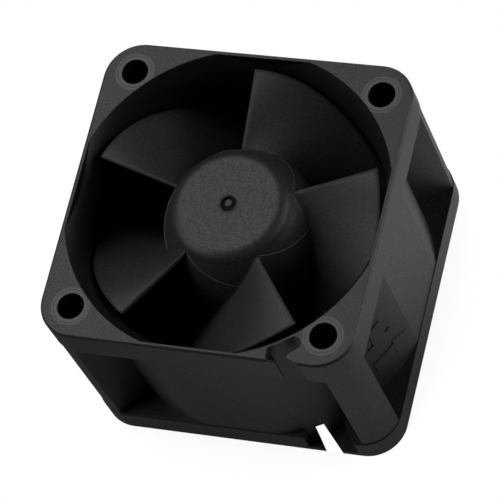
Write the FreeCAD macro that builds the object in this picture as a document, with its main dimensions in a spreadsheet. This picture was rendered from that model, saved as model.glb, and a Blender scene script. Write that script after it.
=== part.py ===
import FreeCAD, Part
import math
import os
import re
import Sketcher
from FreeCAD import Placement, Rotation, Vector

# A 40 x 40 x 28 mm axial server fan, millimetres.
# +Z is the fan axis and points from the exhaust face (Z = 0) to the intake face.
# The moulded frame carries the bearing tube, the stator and the circuit board.
# The impeller, its yoke and magnet, the shaft and the inner races turn together.

os.makedirs("parts", exist_ok=True)
doc = FreeCAD.newDocument("server_fan")
sheet = doc.addObject("Spreadsheet::Sheet", "size")

SIZES = {
    # frame
    "frame_side": 40.0,
    "frame_depth": 28.0,
    "corner_radius": 4.7,
    "rim_chamfer": 0.25,
    "waist_inset": 0.12,
    "bore_dia": 37.8,
    "duct_dia": 41.2,
    "duct_blend": 10.0,
    "mouth_dia": 40.8,
    "mouth_flat": 38.9,
    "mouth_depth": 4.2,
    "mouth_lip_width": 16.32,
    "outlet_chamfer": 0.5,
    "intake_flange": 4.6,
    "exhaust_flange": 3.5,
    "hole_pitch": 32.0,
    "hole_dia": 3.4,
    "hole_ring_dia": 4.4,
    "hole_ring_depth": 0.15,
    "post_edge": 16.15,
    "post_lean": 0.75,
    # wire slot in the intake flange
    "slot_left": 9.6,
    "slot_mouth_left": 10.9,
    "slot_mouth_right": 13.9,
    "slot_right": 13.45,
    "slot_duct_gap": 0.05,
    "slot_lip": 0.2,
    "slot_corner": 0.6,
    "slot_corner_run": 0.5,
    "tongue_tip": 12.1,
    "tongue_gap": 0.3,
    "tongue_side": 0.59,
    "tongue_height": 1.24,
    "tongue_round": 0.38,
    "hook_drop": 1.23,
    "hook_round": 0.9,
    # wire notch in the exhaust flange
    "notch_left": 8.4,
    "notch_right": 14.9,
    "notch_inner": 12.4,
    "notch_floor": 0.7,
    "exit_width": 0.93,
    "exit_flare": 0.074,
    "exit_angle": -50.1,
    "exit_offset": 3.97,
    "exit_top": 3.9,
    # struts and motor base
    "strut_count": 4,
    "strut_bottom": 0.6,
    "strut_top": 5.0,
    "strut_wall": 1.3,
    "strut_curve": 14.0,
    "strut_slant": 14.0,
    "strut_sweep": 10.0,
    "strut_start": 1.0,
    "base_dia": 19.6,
    "base_bottom": 0.5,
    "base_floor": 1.0,
    "base_wall": 0.8,
    "base_top": 6.4,
    "board_ledge": 0.7,
    "boss_wall": 1.2,
    "boss_top": 5.5,
    # hub and blades
    "hub_dia": 19.6,
    "hub_top": 27.1,
    "hub_face_dia": 12.6,
    "shoulder_dia": 15.3,
    "shoulder_round": 1.9,
    "dome_level": 19.88,
    "hub_bottom": 7.2,
    "hub_wall": 0.8,
    "hub_roof": 1.2,
    "cavity_face_inset": 0.6,
    "cavity_side_inset": 0.9,
    "dimple_dia": 2.0,
    "dimple_depth": 0.3,
    "bush_boss_wall": 1.3,
    "blade_count": 5,
    "blade_tip_dia": 37.1,
    "blade_root_top": 26.0,
    "blade_tip_top": 26.75,
    "blade_bottom": 9.0,
    "blade_root_entry": 0.35,
    "blade_tip_entry": 0.09,
    "blade_start": 20.5,
    "blade_lean": 2.3,
    "blade_sweep": 74.0,
    "blade_wall": 1.0,
    "blade_edge": 0.45,
    # rotor
    "yoke_wall": 0.6,
    "yoke_bottom": 7.2,
    "yoke_top": 20.3,
    "magnet_wall": 1.2,
    "magnet_bottom": 8.0,
    "magnet_top": 18.0,
    "bush_dia": 5.2,
    "bush_bottom": 18.9,
    "bush_top": 25.2,
    "shaft_dia": 2.0,
    "shaft_chamfer": 0.15,
    "shaft_bottom": 2.1,
    "shaft_top": 24.6,
    "clip_groove_dia": 1.5,
    "clip_dia": 3.6,
    "clip_thick": 0.25,
    "clip_mouth": 1.1,
    "washer_dia": 4.0,
    "washer_thick": 0.2,
    "washer_clear": 0.1,
    # bearings
    "bearing_dia": 5.0,
    "bearing_width": 2.5,
    "lower_bearing": 2.9,
    "upper_bearing": 15.2,
    "inner_race_dia": 3.0,
    "outer_race_bore": 4.0,
    "ball_dia": 0.8,
    "ball_pitch_dia": 3.5,
    "ball_count": 6,
    "ball_clear": 0.02,
    "cage_thick": 0.26,
    "cage_height": 1.1,
    "tube_dia": 6.4,
    "tube_ledge_bore": 4.2,
    "tube_top": 18.5,
    # stator
    "air_gap": 0.25,
    "core_hub_wall": 1.0,
    "core_bottom": 9.5,
    "core_top": 15.5,
    "tooth_count": 4,
    "neck_width": 1.6,
    "shoe_angle": 36.0,
    "shoe_thick": 0.85,
    "shoe_tip": 0.6,
    "insulator_sheet": 0.5,
    "insulator_wall": 0.5,
    "insulator_height": 2.3,
    "insulator_reach": 4.4,
    "collar_wall": 1.1,
    "foot_inset": 0.65,
    "foot_thick": 0.8,
    "coil_clear": 0.1,
    "coil_side_clear": 0.3,
    "coil_build": 1.1,
    "coil_round": 0.9,
    # board and its parts
    "board_bottom": 3.6,
    "board_thick": 0.8,
    "board_clear": 0.15,
    "pin_dia": 0.5,
    "pin_inset": 1.1,
    "pin_bottom": 3.1,
    "pin_top": 6.9,
    "pin_clear": 0.03,
    "part_inset": 2.15,
    "chip_length": 2.9,
    "chip_width": 1.6,
    "chip_height": 1.1,
    "capacitor_length": 1.6,
    "capacitor_width": 0.8,
    "capacitor_height": 0.8,
    "resistor_length": 1.0,
    "resistor_width": 0.5,
    "resistor_height": 0.35,
    "part_bevel_share": 0.12,
}
for row, (alias, number) in enumerate(SIZES.items(), start=1):
    sheet.set(f"A{row}", alias)
    sheet.set(f"B{row}", str(number))
    sheet.setAlias(f"B{row}", alias)
doc.recompute()

# Radii that follow from the sizes above: each piece of the motor fits inside the next one.
CUP = "( hub_dia / 2 - hub_wall )"
MAGNET_BORE = "( hub_dia / 2 - hub_wall - yoke_wall - magnet_wall )"
CORE = "( hub_dia / 2 - hub_wall - yoke_wall - magnet_wall - air_gap )"
PIN_CIRCLE = f"( {CORE} - pin_inset )"
BOARD = "( base_dia / 2 - base_wall - board_clear )"
PART_CIRCLE = f"( {BOARD} - part_inset )"
SENSOR_CIRCLE = f"( {CORE} - air_gap )"


def value(expression):
    """The number that an expression in the sheet's names comes to."""
    return float(sheet.evalExpression(expression))


def named(expression):
    """The same expression as another object has to write it."""
    return re.sub("[a-z_]+", lambda word: "size." + word[0] if word[0] in SIZES else word[0], expression)


# ---------------------------------------------------------------- drawing helpers

def new_body(label):
    body = doc.addObject("PartDesign::Body", label)
    body.Label = label
    return body


def origin_item(body, role):
    return next(item for item in body.Origin.OriginFeatures if item.Role == role)


def new_sketch(body, plane="XY_Plane", level="0", turn="0"):
    """An empty sketch on an origin plane of its body, lifted by level and turned about its normal."""
    sketch = body.newObject("Sketcher::SketchObject", body.Label + "_sketch")
    sketch.AttachmentSupport = [(origin_item(body, plane), "")]
    sketch.MapMode = "FlatFace"
    sketch.AttachmentOffset = Placement(Vector(0, 0, value(level)), Rotation(Vector(0, 0, 1), value(turn)))
    sketch.setExpression(".AttachmentOffset.Base.z", named(level))
    return sketch


def pin_point(sketch, item, end, x, y):
    """Holds a point of the sketch at x, y, both written in the sheet's names."""
    for axis, expression, line in (("DistanceX", x, -2), ("DistanceY", y, -1)):
        number = value(expression)
        if abs(number) < 1e-9:
            sketch.addConstraint(Sketcher.Constraint("PointOnObject", item, end, line))
            continue
        index = sketch.addConstraint(Sketcher.Constraint(axis, -1, 1, item, end, number))
        sketch.setExpression(f"Constraints[{index}]", named(expression))


def arc_between(start, end, radius):
    """An arc that turns left (radius > 0) or right (radius < 0) on its way from start to end."""
    middle = (start + end) * 0.5
    half = (end - start) * 0.5
    rise = math.sqrt(max(radius ** 2 - half.Length ** 2, 0.0))
    left = Vector(-half.y, half.x, 0).normalize()
    centre = middle + left * (rise if radius > 0 else -rise)
    first, last = (start, end) if radius > 0 else (end, start)
    angles = [math.atan2(p.y - centre.y, p.x - centre.x) for p in (first, last)]
    circle = Part.Circle(centre, Vector(0, 0, 1), abs(radius))
    return Part.ArcOfCircle(circle, angles[0], angles[1])


def outline(sketch, corners):
    """A closed outline. A corner is (x, y), or (x, y, radius) where an arc leads to the next one."""
    spots = [Vector(value(corner[0]), value(corner[1]), 0) for corner in corners]
    ends = []
    for index, corner in enumerate(corners):
        start, end = spots[index], spots[(index + 1) % len(spots)]
        if len(corner) == 2:
            item = sketch.addGeometry(Part.LineSegment(start, end))
            ends.append((item, 1, 2))
            continue
        radius = value(corner[2])
        item = sketch.addGeometry(arc_between(start, end, radius))
        ends.append((item, 1, 2) if radius > 0 else (item, 2, 1))
        bound = corner[2] if radius > 0 else f"0 - ( {corner[2]} )"
        fixed = sketch.addConstraint(Sketcher.Constraint("Radius", item, abs(radius)))
        sketch.setExpression(f"Constraints[{fixed}]", named(bound))
    for index, (item, first, last) in enumerate(ends):
        following = ends[(index + 1) % len(ends)]
        sketch.addConstraint(Sketcher.Constraint("Coincident", item, last, following[0], following[1]))
        pin_point(sketch, item, first, corners[index][0], corners[index][1])
    return sketch


def circle(sketch, radius, x="0", y="0"):
    spot = Vector(value(x), value(y), 0)
    item = sketch.addGeometry(Part.Circle(spot, Vector(0, 0, 1), value(radius)))
    if abs(value(x)) + abs(value(y)) < 1e-9:
        sketch.addConstraint(Sketcher.Constraint("Coincident", item, 3, -1, 1))
    else:
        pin_point(sketch, item, 3, x, y)
    index = sketch.addConstraint(Sketcher.Constraint("Radius", item, value(radius)))
    sketch.setExpression(f"Constraints[{index}]", named(radius))
    return sketch


def rectangle(sketch, x_low, x_high, y_low, y_high):
    return outline(sketch, [(x_low, y_low), (x_high, y_low), (x_high, y_high), (x_low, y_high)])


def feature(body, kind, sketch, length=None, upward=None):
    """Pad, Pocket, Revolution or Groove made from one sketch, checked to change the body's volume."""
    doc.recompute()
    before = body.Shape.Volume if body.Tip and not body.Shape.isNull() else 0.0
    made = body.newObject("PartDesign::" + kind, body.Label + "_" + kind.lower())
    made.Profile = sketch
    if kind in ("Revolution", "Groove"):
        made.ReferenceAxis = (sketch, ["V_Axis"])
        made.Angle = 360
    else:
        made.setExpression("Length", named(length))
    if upward is not None:
        made.Reversed = upward
    sketch.Visibility = False
    doc.recompute()
    if abs(made.Shape.Volume - before) < 1e-6:
        raise RuntimeError(f"{made.Name} changes nothing")
    return made


def around(body, made, count):
    """Repeats a feature about the body's Z axis."""
    pattern = body.newObject("PartDesign::PolarPattern", body.Label + "_pattern")
    pattern.Originals = [made]
    pattern.Axis = (origin_item(body, "Z_Axis"), [""])
    pattern.Angle = 360
    pattern.Occurrences = int(value(count))
    body.Tip = pattern
    doc.recompute()
    return pattern


def turned(label, *profiles):
    """A body of one or more profiles (radius, height) turned about the fan axis."""
    body = new_body(label)
    for corners in profiles:
        feature(body, "Revolution", outline(new_sketch(body, "XZ_Plane"), corners))
    return body


def ring_profile(inner, outer, bottom, top):
    return [(inner, bottom), (outer, bottom), (outer, top), (inner, top)]


# ---------------------------------------------------------------- fan_frame

HALF = "frame_side / 2"
FRONT = "0 - frame_side / 2"


def round_square(sketch, inset="0"):
    """The square of the flanges with its rounded corners, or the same lying further in."""
    flat, low_flat = "frame_side / 2 - corner_radius", "corner_radius - frame_side / 2"
    high, low = f"{HALF} - {inset}", f"{FRONT} + {inset}"
    bend = f"corner_radius - {inset}"
    return outline(sketch, [
        (low_flat, low), (flat, low, bend), (high, low_flat), (high, flat, bend),
        (flat, high), (low_flat, high, bend), (low, flat), (low, low_flat, bend)])


def mouth_profile():
    """The bore with its bell mouth at the intake and its chamfer at the exhaust."""
    bore = "bore_dia / 2"
    mouth = "mouth_dia / 2"
    swell = "( mouth_dia - bore_dia ) / 2"
    bell = f"0 - ( mouth_depth ^ 2 + ( {swell} ) ^ 2 ) / ( 2 * {swell} )"
    return [("0", "0"), (f"{bore} + outlet_chamfer", "0"), (bore, "outlet_chamfer"),
            (bore, "frame_depth - mouth_depth", bell), (mouth, "frame_depth"), ("0", "frame_depth")]


def duct_y(x):
    """How far forward the outside of the duct lies at x, as a negative Y."""
    return f"0 - sqrt( ( duct_dia / 2 ) ^ 2 - ( {x} ) ^ 2 )"


def side_pocket(sketch):
    """The recess between the flanges on the front side, from post to post outside the duct.

    A post's side leans in by post_lean for each millimetre it runs inwards, until it meets the duct.
    A duct that reaches the side of the frame runs into the flat there with a wide blend, which parts
    the recess in two."""
    outside = f"{FRONT} - 1"
    out_edge = "post_edge + post_lean"
    # The run solves ( post_edge - post_lean * run ) ^ 2 + ( frame_side / 2 - run ) ^ 2 = duct radius ^ 2.
    lean = "( post_lean ^ 2 + 1 )"
    reach = "( post_edge * post_lean + frame_side / 2 )"
    excess = "( post_edge ^ 2 + ( frame_side / 2 ) ^ 2 - ( duct_dia / 2 ) ^ 2 )"
    run = f"( {reach} - sqrt( {reach} ^ 2 - {lean} * {excess} ) ) / {lean}"
    root = (f"post_edge - post_lean * {run}", f"{FRONT} + {run}")
    if value("duct_dia") < value("frame_side - 2 * waist_inset"):
        return outline(sketch, [
            (f"0 - ( {root[0]} )", root[1], "duct_dia / 2"), root, (out_edge, outside),
            (f"0 - ( {out_edge} )", outside)])
    flat = "( frame_side / 2 - waist_inset )"
    centre = (f"sqrt( ( duct_dia / 2 - duct_blend ) ^ 2 - ( {flat} - duct_blend ) ^ 2 )",
              f"( duct_blend - {flat} )")
    leave = [f"{place} * ( duct_dia / 2 ) / ( duct_dia / 2 - duct_blend )" for place in centre]
    outline(sketch, [
        (centre[0], f"0 - {flat}", "duct_blend"), (leave[0], leave[1], "duct_dia / 2"), root,
        (out_edge, outside), (centre[0], outside)])
    return outline(sketch, [
        (f"0 - ( {root[0]} )", root[1], "duct_dia / 2"), (f"0 - {leave[0]}", leave[1], "duct_blend"),
        (f"0 - {centre[0]}", f"0 - {flat}"), (f"0 - {centre[0]}", outside),
        (f"0 - ( {out_edge} )", outside)])


def wire_slot(sketch):
    """The hooked slot: a channel along the duct, open to the front past a rounded tongue."""
    duct = "duct_dia / 2 + slot_duct_gap"
    outside = f"{FRONT} - 1"
    lip = f"{FRONT} + slot_lip"
    left_y = f"0 - sqrt( ( {duct} ) ^ 2 - slot_left ^ 2 )"
    hook_x = "tongue_tip + tongue_gap"
    hook_y = f"0 - sqrt( ( {duct} ) ^ 2 - ( {hook_x} ) ^ 2 )"
    return outline(sketch, [
        ("slot_mouth_left", outside),
        ("slot_mouth_right", outside),
        ("slot_mouth_right", FRONT),
        ("tongue_tip + tongue_gap * 1.5", f"{FRONT} + tongue_side", "0 - tongue_round"),
        ("tongue_tip + tongue_gap / 2", f"{FRONT} + tongue_height"),
        ("slot_right", f"{hook_y} - hook_drop", "hook_round"),
        (hook_x, hook_y, f"0 - ( {duct} )"),
        ("slot_left", left_y),
        ("slot_left", f"{lip} + slot_corner_run", "slot_corner"),
        ("slot_left + slot_corner_run", lip),
        ("slot_mouth_left", lip)])


def wire_notch(sketch):
    outside = f"{FRONT} - 1"
    return outline(sketch, [
        ("notch_left", outside), ("notch_right", outside), ("notch_right", FRONT),
        ("notch_inner", duct_y("notch_inner"), "0 - duct_dia / 2"), ("notch_left", duct_y("notch_left"))])


def wire_exit(sketch):
    """The slot that lets the wires out of the duct, beside its radius, wider towards the outside."""
    inner, outer = "bore_dia / 2 - 1", "frame_side"
    half = "exit_width / 2"
    wide = f"{half} + exit_flare * ( {outer} - ( {inner} ) )"
    return outline(sketch, [
        (inner, f"0 - exit_offset - {half}"), (outer, f"0 - exit_offset - ( {wide} )"),
        (outer, f"{wide} - exit_offset"), (inner, f"{half} - exit_offset")])


def base_profile():
    """Half section of the motor base: floor, outer wall, board ledge and the boss for the bearing tube."""
    rim = "base_dia / 2"
    wall = "base_dia / 2 - base_wall"
    ledge = "base_dia / 2 - base_wall - board_ledge"
    floor = "base_bottom + base_floor"
    seat = "tube_dia / 2"
    boss = "tube_dia / 2 + boss_wall"
    return [("0", "base_bottom"), (rim, "base_bottom"), (rim, "base_top"), (wall, "base_top"),
            (wall, "board_bottom"), (ledge, "board_bottom"), (ledge, floor), (boss, floor),
            (boss, "boss_top"), (seat, "boss_top"), (seat, floor), ("0", floor)]


def strip(sketch, inner, outer, inner_angle, outer_angle, inner_width, outer_width, curve=0.0):
    """A radial strip between two radii: the cut through a blade or strut at one level."""
    spots = []
    for radius, angle, width in ((inner, inner_angle, -inner_width), (outer, outer_angle, -outer_width),
                                 (outer, outer_angle, outer_width), (inner, inner_angle, inner_width)):
        turn = math.radians(angle) + width / 2 / radius
        spots.append(Vector(radius * math.cos(turn), radius * math.sin(turn), 0))
    if curve:
        items = [arc_between(spots[0], spots[1], curve), arc_between(spots[1], spots[2], outer),
                 arc_between(spots[2], spots[3], -curve), arc_between(spots[3], spots[0], -inner)]
    else:
        items = [Part.LineSegment(spots[0], spots[1]), arc_between(spots[1], spots[2], outer),
                 Part.LineSegment(spots[2], spots[3]), arc_between(spots[3], spots[0], -inner)]
    for item in items:
        sketch.addGeometry(item)
    for index in range(4):
        sketch.addConstraint(Sketcher.Constraint("Block", index))
    return sketch


def loft(body, sketches):
    made = body.newObject("PartDesign::AdditiveLoft", body.Label + "_loft")
    made.Profile = sketches[0]
    made.Sections = sketches[1:]
    made.Ruled = False
    doc.recompute()
    return made


def strut(body):
    """One curved strut, slanted like a guide vane, from inside the base wall to inside the duct wall."""
    inner = value("base_dia / 2 - base_wall / 2")
    outer = value("( bore_dia + frame_side ) / 4")
    wall = value("strut_wall")
    sections = []
    for level, slant in (("strut_bottom", 0.0), ("strut_top", value("strut_sweep"))):
        angle = value("strut_start") + slant
        sections.append(strip(new_sketch(body, level=level), inner, outer, angle,
                              angle + value("strut_slant"), wall, wall, value("strut_curve")))
    return loft(body, sections)


def make_frame():
    body = new_body("fan_frame")
    block = feature(body, "Pad", round_square(new_sketch(body)), "frame_depth")
    feature(body, "Groove", outline(new_sketch(body, "XZ_Plane"), mouth_profile()))
    # The bell mouth is wider than the frame, so a thin straight lip closes the middle of each side.
    lip = rectangle(new_sketch(body, level="frame_depth - mouth_depth"),
                    "0 - mouth_lip_width / 2", "mouth_lip_width / 2", FRONT, "0 - mouth_flat / 2")
    lips = around(body, feature(body, "Pad", lip, "mouth_depth"), "4")
    bevel(body, lips, "frame_depth", "rim_chamfer")
    # Between the flanges the posts stand back a little, so that the flanges alone touch the tray.
    waist = round_square(new_sketch(body, level="frame_depth - intake_flange"), "waist_inset")
    rectangle(waist, f"{FRONT} - 1", f"{HALF} + 1", f"{FRONT} - 1", f"{HALF} + 1")
    feature(body, "Pocket", waist, "frame_depth - intake_flange - exhaust_flange")
    pocket = feature(body, "Pocket", side_pocket(new_sketch(body, level="frame_depth - intake_flange")),
                     "frame_depth - intake_flange - exhaust_flange")
    around(body, pocket, "4")
    feature(body, "Revolution", outline(new_sketch(body, "XZ_Plane"), base_profile()))
    around(body, strut(body), "strut_count")
    holes = new_sketch(body, level="frame_depth")
    rings = new_sketch(body, level="frame_depth")
    for x in ("hole_pitch / 2", "0 - hole_pitch / 2"):
        for y in ("hole_pitch / 2", "0 - hole_pitch / 2"):
            circle(holes, "hole_dia / 2", x, y)
            circle(rings, "hole_ring_dia / 2", x, y)
    feature(body, "Pocket", holes, "frame_depth")
    feature(body, "Pocket", rings, "hole_ring_depth")
    feature(body, "Pocket", wire_slot(new_sketch(body, level="frame_depth")), "intake_flange")
    feature(body, "Pocket", wire_notch(new_sketch(body, level="exhaust_flange")),
            "exhaust_flange - notch_floor")
    feature(body, "Pocket", wire_exit(new_sketch(body, level="exit_top", turn="exit_angle")), "exit_top")
    return body


def bevel(body, made, level, size):
    """Chamfers the outer edges of the body that lie at one level."""
    height = value(level)
    side = value(HALF)
    corner = side - value("corner_radius")
    names = []
    for index, edge in enumerate(made.Shape.Edges, start=1):
        box = edge.BoundBox
        middle = edge.valueAt((edge.FirstParameter + edge.LastParameter) / 2)
        on_side = max(abs(middle.x), abs(middle.y)) > side - 0.01
        on_corner = min(abs(middle.x), abs(middle.y)) > corner and math.hypot(middle.x, middle.y) > side
        if abs(box.ZMin - height) < 1e-4 and abs(box.ZMax - height) < 1e-4 and (on_side or on_corner):
            names.append(f"Edge{index}")
    cut = body.newObject("PartDesign::Chamfer", body.Label + "_chamfer")
    cut.Base = (made, names)
    cut.setExpression("Size", named(size))
    doc.recompute()
    return cut


# ---------------------------------------------------------------- impeller

def hub_profile():
    """Half section of the hub cup, with its round dome and the boss that holds the bush."""
    side = "hub_dia / 2"
    inner = "hub_dia / 2 - hub_wall"
    roof = "hub_top - hub_roof"
    boss = "bush_dia / 2 + bush_boss_wall"
    bush = "bush_dia / 2"
    shoulder = "dome_level + sqrt( ( hub_dia / 2 ) ^ 2 - ( shoulder_dia / 2 ) ^ 2 )"
    return [
        ("0", "hub_top - dimple_depth"), ("0", "bush_top"), (bush, "bush_top"), (bush, "yoke_top"),
        (boss, "yoke_top"), (boss, roof), ("hub_face_dia / 2 - cavity_face_inset", roof),
        (f"{CUP} - cavity_side_inset", "yoke_top"), (inner, "yoke_top"), (inner, "hub_bottom"),
        (side, "hub_bottom"), (side, "dome_level", side),
        ("shoulder_dia / 2", shoulder, "shoulder_round"), ("hub_face_dia / 2", "hub_top"),
        ("dimple_dia / 2", "hub_top"), ("dimple_dia / 2", "hub_top - dimple_depth")]


def hub_radius(height):
    """Outer radius of the hub at a height, up its side and dome."""
    rise = max(height - value("dome_level"), 0.0)
    return math.sqrt(value("hub_dia / 2") ** 2 - rise ** 2)


def blade(body):
    """One blade, from upright radial sections: it leaves its front edge nearly flat and steepens as it
    sweeps back and down, and is thickest in the middle."""
    steps = 4
    sweep, bottom = math.radians(value("blade_sweep")), value("blade_bottom")
    sections = []
    for step in range(steps + 1):
        share = step / steps
        swell = math.sin(math.pi * (0.1 + 0.8 * share))
        wall = value("blade_edge") + value("blade_wall - blade_edge") * swell
        corners = []
        for place in ("root", "tip"):
            top, entry = value(f"blade_{place}_top"), value(f"blade_{place}_entry")
            fallen = entry * share + (1 - entry) * share ** 2
            height = top + (bottom - top) * fallen
            radius = value("blade_tip_dia / 2")
            if place == "root":
                radius = hub_radius(height) - value("hub_wall") * 0.55
            pace = (top - bottom) * (entry + 2 * (1 - entry) * share) / (sweep * radius)
            across = "blade_tip_dia / 2" if place == "tip" else f"{radius:.4f}"
            level = f"blade_{place}_top + ( blade_bottom - blade_{place}_top ) * {fallen:.5f}"
            corners.append((across, level, wall * math.hypot(1, pace)))
        angle = value("blade_start") + value("blade_lean") * (1 - share) / 2 - math.degrees(sweep) * share
        sketch = new_sketch(body, "XZ_Plane")
        sketch.AttachmentOffset = Placement(Vector(), Rotation(Vector(0, 1, 0), angle))
        (inner, inner_top, inner_wall), (outer, outer_top, outer_wall) = corners
        sections.append(outline(sketch, [
            (inner, f"{inner_top} - {inner_wall:.4f}"), (outer, f"{outer_top} - {outer_wall:.4f}"),
            (outer, outer_top), (inner, inner_top)]))
    return loft(body, sections)


def make_impeller():
    body = new_body("impeller")
    feature(body, "Revolution", outline(new_sketch(body, "XZ_Plane"), hub_profile()))
    around(body, blade(body), "blade_count")
    return body


# ---------------------------------------------------------------- rotor pieces

def make_rotor_parts():
    made = [turned("rotor_yoke", [
        ("bush_dia / 2", "yoke_top - yoke_wall"), (f"{CUP} - yoke_wall", "yoke_top - yoke_wall"),
        (f"{CUP} - yoke_wall", "yoke_bottom"), (CUP, "yoke_bottom"), (CUP, "yoke_top"),
        ("bush_dia / 2", "yoke_top")])]
    made.append(turned("magnet_ring", ring_profile(
        MAGNET_BORE, f"{CUP} - yoke_wall", "magnet_bottom", "magnet_top")))
    made.append(turned("shaft_bush", [
        ("shaft_dia / 2", "bush_bottom"), ("bush_dia / 2", "bush_bottom"), ("bush_dia / 2", "bush_top"),
        ("0", "bush_top"), ("0", "shaft_top"), ("shaft_dia / 2", "shaft_top")]))
    groove_top = "lower_bearing - pin_clear"
    groove_bottom = "lower_bearing - pin_clear - clip_thick"
    made.append(turned("shaft", [
        ("0", "shaft_bottom"), ("shaft_dia / 2 - shaft_chamfer", "shaft_bottom"),
        ("shaft_dia / 2", "shaft_bottom + shaft_chamfer"), ("shaft_dia / 2", groove_bottom),
        ("clip_groove_dia / 2", groove_bottom), ("clip_groove_dia / 2", groove_top),
        ("shaft_dia / 2", groove_top), ("shaft_dia / 2", "shaft_top"), ("0", "shaft_top")]))
    return made


def make_clip():
    """The C-shaped clip that snaps into the groove under the lower bearing."""
    body = new_body("retaining_clip")
    sketch = new_sketch(body, level="lower_bearing - pin_clear - clip_thick")
    circle(sketch, "clip_dia / 2")
    circle(sketch, "clip_groove_dia / 2 + pin_clear")
    feature(body, "Pad", sketch, "clip_thick")
    cut = rectangle(new_sketch(body, level="lower_bearing"), "0", "clip_dia",
                    "0 - clip_mouth / 2", "clip_mouth / 2")
    feature(body, "Pocket", cut, "clip_thick + 2 * pin_clear")
    return body


def make_spring_washers():
    """A pair of cone washers, rim to rim, that press the upper inner race away from the bush."""
    foot = "upper_bearing + bearing_width"
    bore = "shaft_dia / 2 + washer_clear"
    rim = "washer_dia / 2"
    rise = "( bush_bottom - upper_bearing - bearing_width ) / 2"
    lower = turned("lower_spring_washer", [
        (bore, foot), (rim, f"{foot} + {rise} - washer_thick"), (rim, f"{foot} + {rise}"),
        (bore, f"{foot} + washer_thick")])
    upper = turned("upper_spring_washer", [
        (bore, "bush_bottom"), (bore, "bush_bottom - washer_thick"), (rim, f"{foot} + {rise}"),
        (rim, f"{foot} + {rise} + washer_thick")])
    return [lower, upper]


# ---------------------------------------------------------------- bearings

def race(label, bottom, bore, rim, groove_on_rim):
    """A race: a ring whose groove faces the balls."""
    pitch = "ball_pitch_dia / 2"
    track = "ball_dia / 2 + ball_clear"
    middle = f"{bottom} + bearing_width / 2"
    top = f"{bottom} + bearing_width"
    face = rim if groove_on_rim else bore
    half = f"sqrt( ( {track} ) ^ 2 - ( {pitch} - {face} ) ^ 2 )"
    low, high = f"{middle} - {half}", f"{middle} + {half}"
    bend = f"0 - ( {track} )"
    if groove_on_rim:
        return turned(label, [
            (bore, bottom), (rim, bottom), (rim, low, bend), (rim, high), (rim, top), (bore, top)])
    return turned(label, [
        (bore, bottom), (rim, bottom), (rim, top), (bore, top), (bore, high, bend), (bore, low)])


def balls_and_cage(name, bottom):
    """The balls, and the ring that spaces them."""
    middle = value(f"{bottom} + bearing_width / 2")
    pitch = value("ball_pitch_dia / 2")
    count = int(value("ball_count"))
    spots = []
    for index in range(count):
        angle = 2 * math.pi * index / count
        spots.append(Vector(pitch * math.cos(angle), pitch * math.sin(angle), middle))
    balls = doc.addObject("Part::Feature", f"{name}_bearing_balls")
    balls.Shape = Part.makeCompound([Part.makeSphere(value("ball_dia / 2"), spot) for spot in spots])
    half_wall, height = value("cage_thick / 2"), value("cage_height")
    foot = Vector(0, 0, middle - height / 2)
    ring = Part.makeCylinder(pitch + half_wall, height, foot)
    ring = ring.cut(Part.makeCylinder(pitch - half_wall, height, foot))
    pockets = [Part.makeCylinder(value("ball_dia / 2 + ball_clear"), 2 * pitch, Vector(0, 0, middle),
                                 Vector(spot.x, spot.y, 0)) for spot in spots]
    cage = doc.addObject("Part::Feature", f"{name}_bearing_cage")
    cage.Shape = ring.cut(pockets)
    return [balls, cage]


def make_bearings():
    made = []
    for name in ("lower", "upper"):
        bottom = f"{name}_bearing"
        made.append(race(f"{name}_inner_race", bottom, "shaft_dia / 2", "inner_race_dia / 2", True))
        made.append(race(f"{name}_outer_race", bottom, "outer_race_bore / 2", "bearing_dia / 2", False))
        made.extend(balls_and_cage(name, bottom))
    seat, ledge, rim = "bearing_dia / 2", "tube_ledge_bore / 2", "tube_dia / 2"
    foot = "base_bottom + base_floor"
    made.append(turned("bearing_tube", [
        (seat, foot), (rim, foot), (rim, "tube_top"), (seat, "tube_top"), (seat, "upper_bearing"),
        (ledge, "upper_bearing"), (ledge, "lower_bearing + bearing_width"),
        (seat, "lower_bearing + bearing_width")]))
    return made


# ---------------------------------------------------------------- stator

def tooth(sketch):
    """One T-shaped tooth of the core, pointing along +X."""
    hub = "tube_dia / 2 + core_hub_wall / 2"
    face = CORE
    neck_end = f"{CORE} - shoe_thick"
    half = "neck_width / 2"
    tip = f"( {CORE} - shoe_tip )"
    right = [(f"{tip} * cos( shoe_angle )", f"{tip} * sin( shoe_angle )"),
             (f"{face} * cos( shoe_angle )", f"{face} * sin( shoe_angle )")]
    return outline(sketch, [
        (hub, f"0 - {half}"), (neck_end, f"0 - {half}"),
        (right[0][0], f"0 - {right[0][1]}"), (right[1][0], f"0 - {right[1][1]}", face),
        right[1], right[0], (neck_end, half), (hub, half)])


def make_core():
    body = new_body("stator_core")
    hub = new_sketch(body, level="core_bottom")
    circle(hub, "tube_dia / 2 + core_hub_wall")
    circle(hub, "tube_dia / 2")
    feature(body, "Pad", hub, "core_top - core_bottom")
    teeth = feature(body, "Pad", tooth(new_sketch(body, level="core_bottom")), "core_top - core_bottom")
    around(body, teeth, "tooth_count")
    return body


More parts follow.
